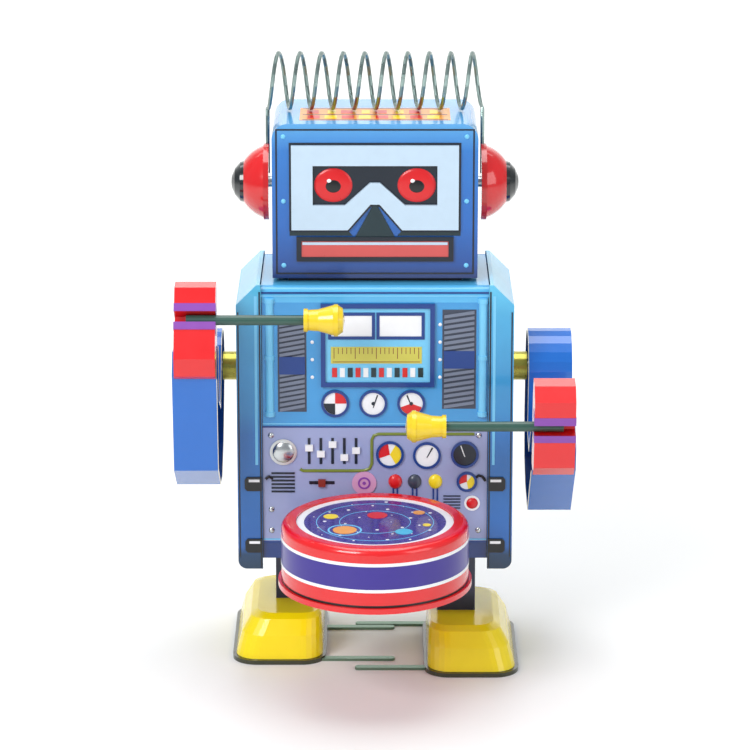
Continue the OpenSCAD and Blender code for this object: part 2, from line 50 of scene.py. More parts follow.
def material(name, rgb, rough=0.3, metal=0.0, coat=0.0, vary=0.05, grain=260, bump=0.0,
             zones=None, axis=2, blend=False, stretch=(1, 1, 1)):
    """Paint, print, metal or plastic. zones is a list of (millimetres along axis, colour) where
    the colour changes, at once or with blend little by little; a zone's colour is print, or
    painted shade and painted highlight."""
    m = bpy.data.materials.new(name)
    m.use_nodes = True
    tree = m.node_tree
    bsdf = tree.nodes["Principled BSDF"]
    bsdf.inputs["Metallic"].default_value = metal
    bsdf.inputs["Coat Weight"].default_value = coat
    bsdf.inputs["Coat Roughness"].default_value = 0.08
    new, link = tree.nodes.new, tree.links.new
    coord = new("ShaderNodeTexCoord")
    space = new("ShaderNodeMapping")
    space.inputs["Scale"].default_value = stretch
    link(coord.outputs["Object"], space.inputs["Vector"])
    cloud = new("ShaderNodeTexNoise")
    cloud.inputs["Scale"].default_value = grain
    cloud.inputs["Detail"].default_value = 5
    link(space.outputs["Vector"], cloud.inputs["Vector"])
    gain = new("ShaderNodeMapRange")
    gain.inputs["To Min"].default_value = 1 - vary
    gain.inputs["To Max"].default_value = 1 + vary
    link(cloud.outputs["Fac"], gain.inputs["Value"])
    scale = new("ShaderNodeVectorMath")
    scale.operation = "SCALE"
    link(gain.outputs["Result"], scale.inputs["Scale"])
    if zones:
        split = new("ShaderNodeSeparateXYZ")
        link(coord.outputs["Object"], split.inputs["Vector"])
        low, high = zones[0][0], zones[-1][0] + 10
        span = new("ShaderNodeMapRange")
        span.inputs["From Min"].default_value = low * MM
        span.inputs["From Max"].default_value = high * MM
        if axis == 0:
            size = new("ShaderNodeMath")
            size.operation = "ABSOLUTE"
            link(split.outputs[0], size.inputs[0])
            link(size.outputs[0], span.inputs["Value"])
        else:
            link(split.outputs[axis], span.inputs["Value"])
        ramp = new("ShaderNodeValToRGB")
        ramp.color_ramp.interpolation = "LINEAR" if blend else "CONSTANT"
        points = ramp.color_ramp.elements
        while len(points) < len(zones):
            points.new(0.5)
        for p, (at, colour) in zip(points, zones):
            p.position = (at - low) / (high - low)
            p.color = linear(colour)
        link(span.outputs["Result"], ramp.inputs["Fac"])
        link(ramp.outputs["Color"], scale.inputs[0])
    else:
        scale.inputs[0].default_value = linear(rgb)[:3]
    link(scale.outputs["Vector"], bsdf.inputs["Base Color"])
    wear = new("ShaderNodeMapRange")
    wear.inputs["To Min"].default_value = rough * 0.8
    wear.inputs["To Max"].default_value = rough * 1.25
    link(cloud.outputs["Fac"], wear.inputs["Value"])
    link(wear.outputs["Result"], bsdf.inputs["Roughness"])
    if bump:
        relief = new("ShaderNodeBump")
        relief.inputs["Strength"].default_value = bump
        relief.inputs["Distance"].default_value = 0.0001
        link(cloud.outputs["Fac"], relief.inputs["Height"])
        link(relief.outputs["Normal"], bsdf.inputs["Normal"])
    return m


WHITE = (238, 240, 242)
RED = (222, 18, 24)
INDIGO = (52, 34, 132)
YELLOW = (250, 224, 6)
CREAM = (240, 232, 190)
ARM = (18, 102, 192)

# The head's ramp is painted shade and painted highlight: darkest along the bottom edge over the
# neck, darker below the mask, and lightest along the rounded top edge.
tin_head_painted_shade = material("tin_head_blue", WHITE, 0.22, coat=0.5, bump=0.05, blend=True,
                    zones=[(87, (8, 40, 92)), (90.5, (14, 72, 148)), (99, (24, 98, 182)),
                           (116, (34, 116, 196)), (123, (88, 168, 224))])
tin_cover = material("tin_cover_blue", (22, 100, 182), 0.24, coat=0.5, bump=0.05, vary=0.06)
# The front's bands are a dark blue foot band, a lilac lower panel and a light blue upper panel.
# The lightest band, from 83 mm over the rounded top edge, is a painted highlight.
tin_front_painted_highlight = material("tin_front_print", WHITE, 0.24, coat=0.5, bump=0.05,
                     zones=[(20, (12, 50, 118)), (27.8, (152, 162, 204)), (54.6, (58, 150, 212)),
                            (83, (84, 178, 228))])
# The flanges' ramp is partly print and partly painted light. The light blue above and blue below
# about 53 to 58 mm follow the print. The near black at the foot is painted shade, and the lightest
# blue at the top edge is a painted highlight.
tin_flange_painted_shade = material("tin_flange_print", WHITE, 0.24, coat=0.5, blend=True,
                      zones=[(20, (8, 44, 66)), (25, (10, 58, 96)), (27, (22, 92, 168)),
                             (53, (34, 116, 192)), (58, (48, 142, 204)),
                             (80, (70, 168, 216)), (88, (96, 196, 232))])
tin_arm = material("tin_arm_blue", ARM, 0.2, coat=0.6, bump=0.05, axis=0,
                   zones=[(30, CREAM), (34.06, ARM), (50, ARM)])
tin_leg = material("tin_leg_navy", (16, 30, 66), 0.3, coat=0.4, bump=0.05)
tin_red = material("tin_red", RED, 0.22, coat=0.6, bump=0.04)
tin_foot = material("tin_shoe_yellow", YELLOW, 0.24, coat=0.5, bump=0.04,
                    zones=[(-1, (46, 50, 26)), (1.02, YELLOW)])
tin_skin = material("tin_drum_head", INDIGO, 0.26, coat=0.5, vary=0.12, grain=700)
bare_tin = material("bare_tin", (176, 186, 184), 0.32, metal=1.0, vary=0.1, stretch=(1, 6, 1))
tab_tin = material("tab_tin", (112, 138, 118), 0.35, metal=0.8, vary=0.08)
steel = material("bright_steel", (198, 202, 204), 0.24, metal=1.0, vary=0.08, grain=500)
coil_steel = material("spring_steel", (132, 150, 146), 0.28, metal=1.0, vary=0.08, grain=500)
blue_steel = material("mainspring_steel", (92, 104, 128), 0.3, metal=1.0, vary=0.1)
brass = material("brass", (222, 184, 96), 0.26, metal=1.0, vary=0.07, grain=500)
stick_green = material("stick_grey_green", (46, 84, 74), 0.34, coat=0.3, vary=0.08)
gold_bush = material("bush_gold", (206, 196, 84), 0.26, metal=0.6, vary=0.06)
red_plastic = material("red_plastic", (216, 18, 24), 0.16, coat=0.8, vary=0.02)
black_plastic = material("black_plastic", (16, 24, 26), 0.16, coat=0.8, vary=0.05)
yellow_plastic = material("yellow_plastic", (234, 202, 30), 0.24, coat=0.5, vary=0.03)
# The neck plate is painted near black as painted shade, the head's shadow on it.
neck_painted_shade = material("neck_painted_shade", (6, 18, 40), 0.4, vary=0.1)


def ink(name, rgb):
    """A glossy printed or enamelled colour."""
    return material("print_" + name, rgb, 0.3, coat=0.2, grain=420)


INK = {name: ink(name, rgb) for name, rgb in {
    "white": WHITE, "mask": (190, 212, 230), "navy": (8, 24, 40), "teal": (14, 44, 52),
    "salmon": (206, 84, 82), "red": (214, 24, 30), "black": (12, 15, 18), "olive": (112, 126, 40),
    "scale": (206, 200, 84), "yellow": (244, 216, 32), "orange": (236, 158, 66),
    "sky": (116, 200, 240), "blue": (14, 58, 132), "grey": (58, 66, 84), "slat": (112, 122, 142),
    "pink": (206, 156, 196), "brown": (132, 44, 36), "indigo": (54, 38, 140),
    "violet": (132, 66, 164), "cyan": (70, 180, 218)}.items()}


def both(*stems):
    """The left and right names of paired nodes."""
    return [f"{stem}_{side}" for stem in stems for side in ("left", "right")]


PAINT = {
    tin_head_painted_shade: ["head_front", "head_back"], tin_front_painted_highlight: ["torso_front"], tin_cover: ["torso_back"],
    tin_flange_painted_shade: both("side_cover"), tin_arm: both("arm"),
    tin_leg: both("leg"), neck_painted_shade: ["neck_plate"],
    tin_red: ["drum_body", "drum_base", *both("hand")],
    tin_skin: ["drum_skin"], tin_foot: both("foot"),
    bare_tin: ["base_plate", "motor_frame", "motor_front_plate", "drum_bracket"],
    tab_tin: both("stabiliser"), coil_steel: ["head_coil"], blue_steel: ["mainspring"],
    brass: ["great_wheel", "second_wheel", "crown_wheel", "escape_wheel", "motor_pillars",
            *both("crank", "arm_lever")],
    stick_green: both("stick"), gold_bush: both("shoulder_bush"),
    red_plastic: both("ear"), black_plastic: both("ear_cap"),
    yellow_plastic: both("stick_tip"),
    steel: ["ear_bolts", "key_arbor", "winding_key", "ratchet_wheel", "click", "crown_post",
            "crankshaft", "escape_post", "pallet", "pallet_post", "guide_pins",
            *both("shoulder_axle")]}
for paint, names in PAINT.items():
    for n in names:
        nodes[n].data.materials.clear()
        nodes[n].data.materials.append(paint)
ROUND = ["head_coil", "drum_body", "drum_base", "drum_skin", "head_front", "head_back",
         *both("ear", "ear_cap", "stick", "stick_tip", "foot", "arm", "shoulder_bush")]


# Shapes -----------------------------------------------------------------------------------------

def turns(n):
    """The cosine and sine of n equal steps round a circle."""
    return [(math.cos(2 * math.pi * i / n), math.sin(2 * math.pi * i / n)) for i in range(n)]


def rect(x0, x1, z0, z1):
    return [(x0, z0), (x1, z0), (x1, z1), (x0, z1)]


def plate_faces(n):
    """The faces round two copies of an outline with n corners."""
    return ([list(range(n)), list(range(2 * n - 1, n - 1, -1))]
            + [[i, i + n, (i + 1) % n + n, (i + 1) % n] for i in range(n)])


def band_faces(n):
    """The faces round an outer and an inner outline, and then a copy of both."""
    faces = []
    for i in range(n):
        j = (i + 1) % n
        faces += [[i, j, n + j, n + i], [2 * n + i, 3 * n + i, 3 * n + j, 2 * n + j],
                  [i, 2 * n + i, 2 * n + j, j], [n + i, n + j, 3 * n + j, 3 * n + i]]
    return faces


class Shape:
    """Solids gathered into one mesh.

    Flat shapes are drawn in X and Z and stand from y0 back to y1.
    """

    def __init__(self):
        self.mesh = bmesh.new()

    def add(self, verts, faces):
        vs = [self.mesh.verts.new(Vector(v) * MM) for v in verts]
        for f in faces:
            self.mesh.faces.new([vs[i] for i in f])
        return self

    def box(self, x0, x1, y0, y1, z0, z1):
        return self.poly(rect(x0, x1, z0, z1), y0, y1)

    def poly(self, points, y0, y1):
        return self.add([(x, y, z) for y in (y0, y1) for x, z in points], plate_faces(len(points)))

    def disc(self, x, z, r, y0, y1, n=32):
        return self.poly([(x + r * c, z + r * s) for c, s in turns(n)], y0, y1)

    def frame(self, outer, inner, y0, y1):
        """A flat band between two outlines with the same number of corners."""
        return self.add([(x, y, z) for y in (y0, y1) for o in (outer, inner) for x, z in o],
                        band_faces(len(outer)))

    def slab(self, x0, x1, y0, y1, z0, z1):
        """A box that lies flat."""
        return self.add([(x, y, z) for z in (z0, z1) for x, y in rect(x0, x1, y0, y1)],
                        plate_faces(4))

    def side_plate(self, loop, x0, x1):
        """A flat shape drawn in Y and Z, standing from x0 to x1."""
        return self.add([(x, y, z) for x in (x0, x1) for y, z in loop], plate_faces(len(loop)))

    def side_band(self, outer, inner, x0, x1):
        """A flat band between two loops drawn in Y and Z."""
        return self.add([(x, y, z) for x in (x0, x1) for o in (outer, inner) for y, z in o],
                        band_faces(len(outer)))

    def ring(self, x, z, r0, r1, y0, y1, n=32):
        return self.frame([(x + r1 * c, z + r1 * s) for c, s in turns(n)],
                          [(x + r0 * c, z + r0 * s) for c, s in turns(n)], y0, y1)

    def lathe(self, profile, x, y, n=72):
        """A closed profile of (radius, height) turned about a vertical line."""
        k = len(profile)
        verts = [(x + r * c, y + r * s, z) for c, s in turns(n) for r, z in profile]
        faces = [[i * k + j, (i + 1) % n * k + j, (i + 1) % n * k + (j + 1) % k,
                  i * k + (j + 1) % k] for i in range(n) for j in range(k)]
        return self.add(verts, faces)

    def dome(self, x, z, rx, rz, y, h, n=32, rings=6):
        """A low dome on a vertical wall, its foot at y and its top h in front of it."""
        verts, faces = [(x, y - h, z)], []
        for j in range(1, rings + 1):
            a = math.pi / 2 * j / rings
            verts += [(x + rx * math.sin(a) * c, y - h * math.cos(a), z + rz * math.sin(a) * s)
                      for c, s in turns(n)]
        faces += [[0, 1 + i, 1 + (i + 1) % n] for i in range(n)]
        for j in range(rings - 1):
            a, b = 1 + j * n, 1 + (j + 1) * n
            faces += [[a + i, b + i, b + (i + 1) % n, a + (i + 1) % n] for i in range(n)]
        faces.append([1 + (rings - 1) * n + i for i in range(n)][::-1])
        return self.add(verts, faces)

    def tube(self, points, r, n=10):
        """A round wire through points."""
        pts = [Vector(p) for p in points]
        rows = []
        for i, p in enumerate(pts):
            t = (pts[min(i + 1, len(pts) - 1)] - pts[max(i - 1, 0)]).normalized()
            side = t.cross(Vector((0, 1, 0)) if abs(t.y) < 0.8 else Vector((1, 0, 0))).normalized()
            up = t.cross(side)
            rows.append([p + r * (c * side + s * up) for c, s in turns(n)])
        faces = [[i * n + k, i * n + (k + 1) % n, (i + 1) * n + (k + 1) % n, (i + 1) * n + k]
                 for i in range(len(rows) - 1) for k in range(n)]
        faces += [list(range(n))[::-1], [(len(rows) - 1) * n + k for k in range(n)]]
        return self.add([tuple(v) for row in rows for v in row], faces)

    def make(self, name, paint, slot, body="shell", bevel=0.0, place=None):
        """The finished piece, riding on its body. place moves it from where it was drawn."""
        if bevel:
            edges = [e for e in self.mesh.edges if e.calc_face_angle(0) > 0.6]
            bmesh.ops.bevel(self.mesh, geom=edges, offset=bevel * MM, segments=2, affect="EDGES",
                            clamp_overlap=True)
        if place is not None:
            bmesh.ops.transform(self.mesh, matrix=place, verts=self.mesh.verts)
        bmesh.ops.recalc_face_normals(self.mesh, faces=self.mesh.faces)
        data = bpy.data.meshes.new(name)
        self.mesh.to_mesh(data)
        self.mesh.free()
        data.materials.append(paint)
        data.shade_smooth()
        data.set_sharp_from_angle(angle=math.radians(CREASE))
        piece = bpy.data.objects.new(name, data)
        bpy.context.scene.collection.objects.link(piece)
        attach(piece, body)
        return piece


CREASE, SHOE_CREASE = 32, 65    # an edge sharper than this, in degrees, stays sharp
for n in ROUND:
    nodes[n].data.shade_smooth()
    crease = SHOE_CREASE if n.startswith("foot") else CREASE
    nodes[n].data.set_sharp_from_angle(angle=math.radians(crease))

BODY = "light_blue_print"
TIN = "blue_tin"
RED_SLOT = "red_tin"


# Head -------------------------------------------------------------------------------------------

face_y = 3.1        # front of the head's embossed mask
face_sheet = 4.05   # where the face's prints end, just inside the head's front sheet


def goggles(x, top, low, foot, nose, peak):
    """The mask's outline, a wide window with a notch over the nose."""
    return [(-x, top), (x, top), (x, low), (foot, low), (nose, peak), (-nose, peak), (-foot, low),
            (-x, low)]


mask_outer = goggles(18.26, 117.36, 98.54, 5.95, 1, 104.3)
mask_inner = goggles(13.6, 112.9, 104.1, 6.55, 1.1, 109.1)
Shape().frame(mask_outer, mask_inner, face_y - 0.15, 3.98) \
    .make("face_mask", INK["mask"], BODY, bevel=0.25)
Shape().poly(goggles(13.68, 112.98, 104.02, 6.5, 1, 109.02)[::-1], 3.84, 3.95) \
    .make("eye_window", INK["navy"], BODY)
eyes, pupils, glints = Shape(), Shape(), Shape()
for x in (-9.1, 9.1):
    eyes.dome(x, 108.45, 4.2, 3.8, 3.85, 0.55)
    pupils.dome(x, 108.3, 1.7, 1.45, 3.38, 0.2)
    glints.dome(x - 0.9, 109.5, 0.5, 0.45, 3.32, 0.12, 16, 3)
eyes.make("eyes", INK["red"], BODY)
pupils.make("pupils", INK["black"], BODY)
glints.make("eye_glints", INK["white"], BODY)
Shape().poly([(-4.3, 96.9), (4.3, 96.9), (0.4, 104.1), (-0.4, 104.1)], 3.7, face_sheet) \
    .make("nose", INK["teal"], BODY, bevel=0.12)
Shape().frame(rect(-17.2, 17.2, 91.4, 96.9), rect(-16.1, 16.1, 92.4, 95.95), 3.38, 3.98) \
    .make("mouth_frame", INK["navy"], BODY, bevel=0.12)
Shape().box(-16.1, 16.1, 3.6, 3.9, 92.4, 95.95).make("mouth_bar", INK["salmon"], BODY)
Shape().box(-15.9, 15.9, 3.54, 3.62, 95.1, 95.7).make("mouth_bar_shine", INK["mask"], BODY)
outline = Shape().frame(goggles(18.75, 117.85, 98.05, 5.7, 0.9, 103.6), mask_outer, 3.86,
                        face_sheet)
outline.frame(rect(-21.7, 21.7, 88.4, 120.9), rect(-21.35, 21.35, 88.75, 120.55), 3.93, face_sheet)
outline.make("face_outlines", INK["navy"], BODY)
shade = Shape()
for s in (-1, 1):
    shade.poly([(s * 5.7, 98), (s * 18.7, 98), (s * 18.7, 97.1), (s * 4.9, 97.1)][::s], 3.9,
               face_sheet)
shade.make("mask_shade", INK["teal"], BODY)
bolts = Shape()
for x in (-20, 20):
    for z in (90.4, 104.8, 119.2):
        bolts.dome(x, z, 0.55, 0.55, 4.02, 0.35, 16, 4)
bolts.make("face_rivets", INK["sky"], BODY)

top_z = 122.0       # top of the head
top_print = top_z + 0.08
Shape().slab(-16.5, 16.5, 8, 21, top_z - 0.05, top_z + 0.04) \
    .make("head_top_panel", INK["orange"], TIN)
for name, colour, first in (("head_top_red", "red", 0), ("head_top_yellow", "yellow", 1)):
    blocks = Shape()
    for i in range(first, 8, 2):
        x = -14.8 + i * 3.75
        blocks.slab(x, x + 2.7, 9.6, 13, top_z, top_print)
        blocks.slab(x + (0.6 if first else -0.2), x + 2.4, 15, 18.6, top_z, top_print)
    blocks.make(name, INK[colour], TIN)
lines = Shape()
for y in (8.5, 14, 20.2):
    lines.slab(-15.9, 15.9, y - 0.15, y + 0.15, top_z, top_print)
lines.make("head_top_lines", INK["blue"], TIN)

# Torso front ------------------------------------------------------------------------------------

SHEET = 0.06            # how far a print reaches into its sheet
MARK = (-0.26, -0.15)   # front and back of a mark on a dial


def print_box(shape, x0, x1, z0, z1, h=0.1):
    """A flat print on the torso's front, h high."""
    shape.box(x0, x1, -h, SHEET, z0, z1)


def side_boxes(shape, x_in, x_out, y0, y1, z0, z1):
    """The same box on each side of the middle."""
    for s in (-1, 1):
        shape.box(*sorted((s * x_in, s * x_out)), y0, y1, z0, z1)


def wedge(shape, x, z, r, a0, a1, n=10):
    """A coloured part of a dial from a0 to a1 degrees."""
    angles = [math.radians(a0 + (a1 - a0) * i / n) for i in range(n + 1)]
    shape.poly([(x, z)] + [(x + r * math.cos(a), z + r * math.sin(a)) for a in angles], *MARK)


Shape().frame(rect(-11.9, 13.1, 63.9, 82.8), rect(-10.9, 12.1, 64.9, 81.8), -0.75, SHEET) \
    .make("display_frame", INK["blue"], BODY, bevel=0.2)
Shape().box(-10.95, 12.15, -0.2, SHEET, 64.85, 81.85).make("display_back", INK["sky"], BODY)
Shape().frame(rect(-10.3, 0, 74.7, 80.8), rect(-9.6, -0.7, 75.4, 80.1), -0.4, SHEET) \
    .frame(rect(0.3, 10.9, 74.7, 80.8), rect(1, 10.2, 75.4, 80.1), -0.4, SHEET) \
    .make("window_frames", INK["blue"], BODY, bevel=0.08)
windows = Shape()
windows.box(-9.65, -0.65, -0.28, SHEET, 75.35, 80.15)
windows.box(0.95, 10.25, -0.28, SHEET, 75.35, 80.15)
windows.make("display_windows", INK["white"], BODY)
Shape().box(-9.7, 10.3, -0.3, SHEET, 69.2, 73).make("scale_strip", INK["scale"], BODY)
ticks = Shape()
for i in range(21):
    x = -9 + i * 0.93
    ticks.box(x - 0.07, x + 0.07, -0.34, -0.25, 71.4 if i % 5 else 70.3, 72.8)
ticks.box(-9.3, 9.9, -0.34, -0.25, 69.5, 69.65)
ticks.make("scale_marks", INK["brown"], BODY)
for i, colour in enumerate(("red", "white", "teal")):
    marks = Shape()
    for k in range(i, 12, 3):
        x = -8.9 + k * 1.72
        marks.box(x - 0.55, x + 0.55, -0.4, SHEET, 66.1, 68.2)
    marks.make("display_keys_" + colour, INK[colour], BODY, bevel=0.08)

grille_back, slats, band = Shape(), Shape(), Shape()
slat_count = 18
for x0, x1, z0, z1 in ((-21, -15.5, 58.5, 79), (15.2, 21.8, 59.2, 81)):
    print_box(grille_back, x0 - 0.4, x1 + 0.4, z0 - 0.4, z1 + 0.4, 0.12)
    for i in range(slat_count):
        z = z0 + (i + 0.5) * (z1 - z0) / slat_count
        slats.poly([(x0, z - 0.9), (x1, z + 0.1), (x1, z + 0.8), (x0, z - 0.2)], -0.42, -0.05)
    middle = (z0 + z1) / 2
    print_box(band, x0 - 0.1, x1 + 0.1, middle - 2, middle + 2, 0.5)
grille_back.make("grille_panels", INK["grey"], BODY)
slats.make("grille_slats", INK["slat"], BODY, bevel=0.12)
band.make("grille_bands", INK["blue"], BODY, bevel=0.1)

pipes = Shape()
for x in (-23.2, 23.7):
    pipes.tube([(x, 0.05, z) for z in (57, 70, 84)], 0.95, 16)
    for z in (57.6, 70.5, 83.4):
        pipes.tube([(x, 0.05, z - 0.5), (x, 0.05, z + 0.5)], 1.15, 16)
pipes.make("side_pipes", INK["sky"], BODY)

dial_rims, dial_white, dial_red, dial_dark = Shape(), Shape(), Shape(), Shape()
for x in (-8.8, -0.4, 8):
    dial_rims.ring(x, 60, 2.55, 3.1, -0.5, SHEET)
    dial_white.disc(x, 60, 2.6, -0.2, SHEET)

wedge(dial_red, -8.8, 60, 2.5, 0, 90)
wedge(dial_dark, -8.8, 60, 2.5, 180, 270)
wedge(dial_red, 8, 60, 2.5, 200, 340)
dial_dark.poly([(-0.5, 59), (-0.3, 59), (0.7, 61.9), (0.4, 62)], *MARK)
dial_dark.poly([(7.9, 59.5), (8.1, 59.5), (7.2, 62), (6.9, 61.8)], *MARK)
dial_dark.disc(-0.4, 60, 0.4, -0.32, -0.15, 16)
dial_dark.disc(8, 60, 0.4, -0.32, -0.15, 16)

# the lower panel
for x, z, r in ((3.3, 48.2, 3), (11.5, 48, 3), (19.9, 48.2, 3), (20.4, 41.9, 2.2)):
    dial_rims.ring(x, z, r - 0.45, r + 0.1, -0.5, SHEET)
for x, z, r in ((3.3, 48.2, 2.6), (11.5, 48, 2.6), (20.4, 41.9, 1.8)):
    dial_white.disc(x, z, r, -0.2, SHEET)
dial_dark.disc(19.9, 48.2, 2.6, -0.2, SHEET)
wedge(dial_red, 3.3, 48.2, 2.5, 100, 200)
wedge(dial_red, 20.4, 41.9, 1.7, 90, 200)
dial_yellow = Shape()
wedge(dial_yellow, 3.3, 48.2, 2.5, -60, 60)
wedge(dial_yellow, 20.4, 41.9, 1.7, -80, 50)
dial_yellow.make("dial_yellow", INK["yellow"], BODY)
dial_dark.poly([(11.4, 47.5), (11.6, 47.5), (12.9, 49.7), (12.6, 49.9)], *MARK)
dial_white.poly([(19.8, 47.7), (20, 47.7), (19.1, 50.3), (18.9, 50.2)], -0.27, -0.15)
dial_rims.make("dial_rims", INK["blue"], BODY, bevel=0.1)
dial_white.make("dial_faces", INK["white"], BODY)
dial_red.make("dial_red", INK["red"], BODY)
dial_dark.make("dial_dark", INK["navy"], BODY)

knobs = Shape()
knobs.dome(-20.3, 48.8, 2.6, 2.6, SHEET, 1.1)
knobs.ring(-20.3, 48.8, 2.4, 3, -0.35, SHEET)
for x, z in ((-23, 30.5), (23, 30.5), (-23, 52.6), (23, 52.6), (-23, 35.4), (-13.5, 30.2),
             (13.5, 30.2)):
    knobs.dome(x, z, 0.7, 0.7, SHEET, 0.45, 16, 4)
knobs.make("panel_steel_knobs", steel, "bright_steel")

slots, caps = Shape(), Shape()
for i, at in enumerate((49.8, 48.4, 50.6, 47.6, 49.2)):
    x = -14.6 + i * 2.6
    print_box(slots, x - 0.3, x + 0.3, 46, 52, 0.14)
    caps.box(x - 0.85, x + 0.85, -0.7, SHEET, at - 0.7, at + 0.7)
print_box(slots, -14.6, -9, 41.3, 42, 0.14)
slots.make("slider_slots", INK["navy"], BODY)
caps.make("slider_caps", INK["white"], BODY, bevel=0.15)
Shape().box(-12.6, -11, -0.7, SHEET, 40.8, 42.5).make("slider_knob", INK["brown"], BODY, bevel=0.2)

pipe = Shape()
pipe.tube([(-16.6, 0, 44.8), (-16, 0, 44.4), (-2.6, 0, 44.4), (-1.2, 0, 44.9), (-0.7, 0, 46),
           (-0.7, 0, 51.6), (-0.2, 0, 52.6), (0.8, 0, 52.9), (22, 0, 52.9)], 0.36)
pipe.make("olive_pipe", INK["olive"], BODY)

lined = Shape()
for i in range(6):
    print_box(lined, -23, -17.8, 39.4 + i * 0.85, 39.8 + i * 0.85, 0.2)
for i in range(5):
    print_box(lined, 15.2, 19, 35.6 + i * 0.7, 35.85 + i * 0.7, 0.16)
lined.make("line_grille", INK["navy"], BODY)
Shape().disc(-2.4, 41.6, 2.7, -0.3, SHEET).make("lilac_dial", INK["pink"], BODY, bevel=0.12)
Shape().ring(-2.4, 41.6, 1, 1.4, -0.4, -0.2).disc(-2.4, 41.6, 0.4, -0.4, -0.2, 16) \
    .make("lilac_dial_marks", INK["violet"], BODY)

stems = Shape()
for x in (4.5, 8.8, 13.4):
    for k in (-0.45, 0.45):
        print_box(stems, x + k - 0.16, x + k + 0.16, 35.5, 41, 0.2)
stems.make("knob_stems", INK["blue"], BODY)
for x, colour in ((4.5, "red"), (8.8, "grey"), (13.4, "yellow")):
    Shape().dome(x, 41.9, 1.55, 1.7, SHEET, 0.9).make("knob_" + colour, INK[colour], BODY)
Shape().dome(21.6, 36.9, 1.35, 1.35, SHEET, 0.9).make("red_lamp", INK["red"], BODY)
Shape().ring(21.6, 36.9, 1.3, 1.75, -0.3, SHEET) \
    .make("red_lamp_rim", INK["white"], BODY, bevel=0.08)

cables = Shape()
cables.tube([(22.2, -0.1, 42.6), (23, -0.35, 43.4), (23.8, -0.5, 43.2), (24.5, -0.6, 42.2)], 0.32)
cables.tube([(-22.8, -0.1, 42.6), (-23.5, -0.4, 43.2), (-24.3, -0.6, 42.6)], 0.32)
cables.make("side_cables", INK["black"], BODY)

seams = Shape()
side_boxes(seams, 24.86, 25.18, -0.14, SHEET, 24.2, 84.2)
side_boxes(seams, 25.15, 25.5, -0.86, -0.74, 22, 85.6)
side_boxes(seams, 29.9, 30.2, -0.86, -0.74, 24.5, 81)
seams.make("torso_seams", INK["navy"], TIN)
shine = Shape()
side_boxes(shine, 25.9, 26.5, -0.86, -0.74, 46, 84.6)
shine.make("flange_highlights", INK["sky"], TIN)
rule = Shape()
for z in (85.2, 54.6, 27.8):
    print_box(rule, -24.9, 24.9, z - 0.18, z + 0.18, 0.12)
rule.make("panel_rules", INK["blue"], BODY)
light_rule = Shape()
for z in (84.5, 55.3, 28.4):
    print_box(light_rule, -24.9, 24.9, z - 0.14, z + 0.14, 0.11)
light_rule.make("panel_highlights", INK["sky"], BODY)
rivets = Shape()
for x in (-13.8, 14.3):
    for z in (66, 70, 74, 78):
        rivets.dome(x, z, 0.42, 0.42, SHEET, 0.3, 12, 3)
rivets.make("panel_rivets", INK["white"], BODY)

# Side covers, back, drum ------------------------------------------------------------------------

cover_front = -0.8      # front of the side covers' flanges
side_x, side_y = 30.5, 15
torso_back, head_back = 30, 31


def behind(y):
    """Turns what is drawn facing the front to face the back at y."""
    return Matrix.Translation((0, y * MM, 0)) @ Matrix.Rotation(math.pi, 4, "Z")


blocks, shines = Shape(), Shape()
for s in (-1, 1):
    for z in (41.6, 27.2):
        blocks.poly([(s * 25.1, z - 1.6), (s * 28.4, z - 1.6), (s * 28.9, z - 1),
                     (s * 28.9, z + 1), (s * 28.4, z + 1.6), (s * 25.1, z + 1.6)],
                    cover_front - 0.35, cover_front + SHEET)
        shines.poly([(s * 25.6, z + 0.5), (s * 28, z + 0.5), (s * 28, z + 1.1),
                     (s * 25.6, z + 1.1)],
                    cover_front - 0.4, cover_front - 0.3)
blocks.make("side_blocks", INK["black"], TIN, bevel=0.12)
shines.make("side_block_shines", INK["white"], TIN)

for s, word in ((-1, "right"), (1, "left")):
    # drawn facing the front and turned to the side, so x runs along the depth of the torso
    place = (Matrix.Translation((s * side_x * MM, side_y * MM, 0))
             @ Matrix.Rotation(math.radians(90 * s), 4, "Z"))
    side = Shape()
    side.frame(rect(-13.2, 13.2, 26.5, 79.5), rect(-12.6, 12.6, 27.1, 78.9), -0.09, SHEET)
    side.frame(rect(-11, 11, 29, 46), rect(-10.6, 10.6, 29.4, 45.6), -0.09, SHEET)
    side.make("side_lines_" + word, INK["sky"], TIN, place=place)
    vents = Shape()
    for i in range(6):
        vents.box(-8, 8, -0.11, SHEET, 36.2 + i * 1.6, 37 + i * 1.6)
    vents.make("side_vents_" + word, INK["navy"], TIN, place=place)

Shape().frame(rect(-22, 22, 27, 82), rect(-21.4, 21.4, 27.6, 81.4), -0.1, SHEET) \
    .ring(0, 66, 6.6, 7.2, -0.1, SHEET) \
    .make("back_lines", INK["sky"], TIN, place=behind(torso_back))
vents = Shape()
for i in range(9):
    vents.box(-13, 13, -0.3, SHEET, 34 + i * 2.1, 35 + i * 2.1)
vents.make("back_louvres", INK["navy"], TIN, bevel=0.1, place=behind(torso_back))
rivets = Shape()
for x in (-20, 20):
    for z in (29.4, 42, 55, 68, 79.6):
        rivets.dome(x, z, 0.6, 0.6, SHEET, 0.4, 16, 4)
rivets.make("back_rivets", steel, "bright_steel", place=behind(torso_back))
Shape().frame(rect(-18, 18, 92, 117), rect(-17.4, 17.4, 92.6, 116.4), -0.1, SHEET) \
    .make("head_back_lines", INK["sky"], TIN, place=behind(head_back))
vents = Shape()
for i in range(6):
    vents.box(-11, 11, -0.25, SHEET, 98 + i * 2.2, 99 + i * 2.2)
vents.make("head_back_louvres", INK["navy"], TIN, bevel=0.1, place=behind(head_back))


def band_profile(r, z0, z1, h=0.06):
    """A print of height h round a wall of radius r."""
    return [(r - 0.1, z0), (r + h, z0), (r + h, z1), (r - 0.1, z1)]


